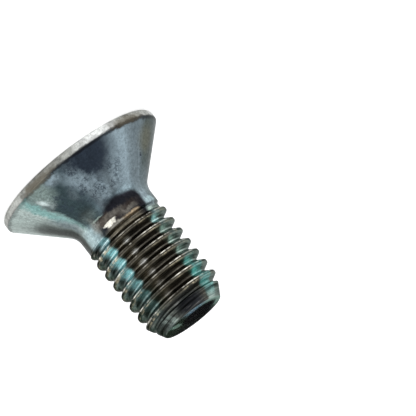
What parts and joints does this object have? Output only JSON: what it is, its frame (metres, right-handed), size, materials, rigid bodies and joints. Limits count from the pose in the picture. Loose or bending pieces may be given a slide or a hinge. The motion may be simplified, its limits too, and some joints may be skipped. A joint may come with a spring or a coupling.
{
  "type": "countersunk bolt",
  "caption": "Countersunk bolt with a flat conical head, a hexagon socket, a plain neck and a right-hand coarse thread, for clamping a part with the head flush in its face.",
  "frame": {"origin": "centre of the head's flat face, which the bolt stands on", "axes": "+Z along the shank towards the tip, +X through two corners of the hexagon socket"},
  "size_m": [0.024, 0.024, 0.025],
  "materials": {
    "zinc_plated_steel": "bright zinc plate with a thin blue-white passivation, smooth and fairly glossy, stained brown along one side"
  },
  "bodies": {
    "root": {"bolt": "zinc_plated_steel"}
  },
  "joints": []
}
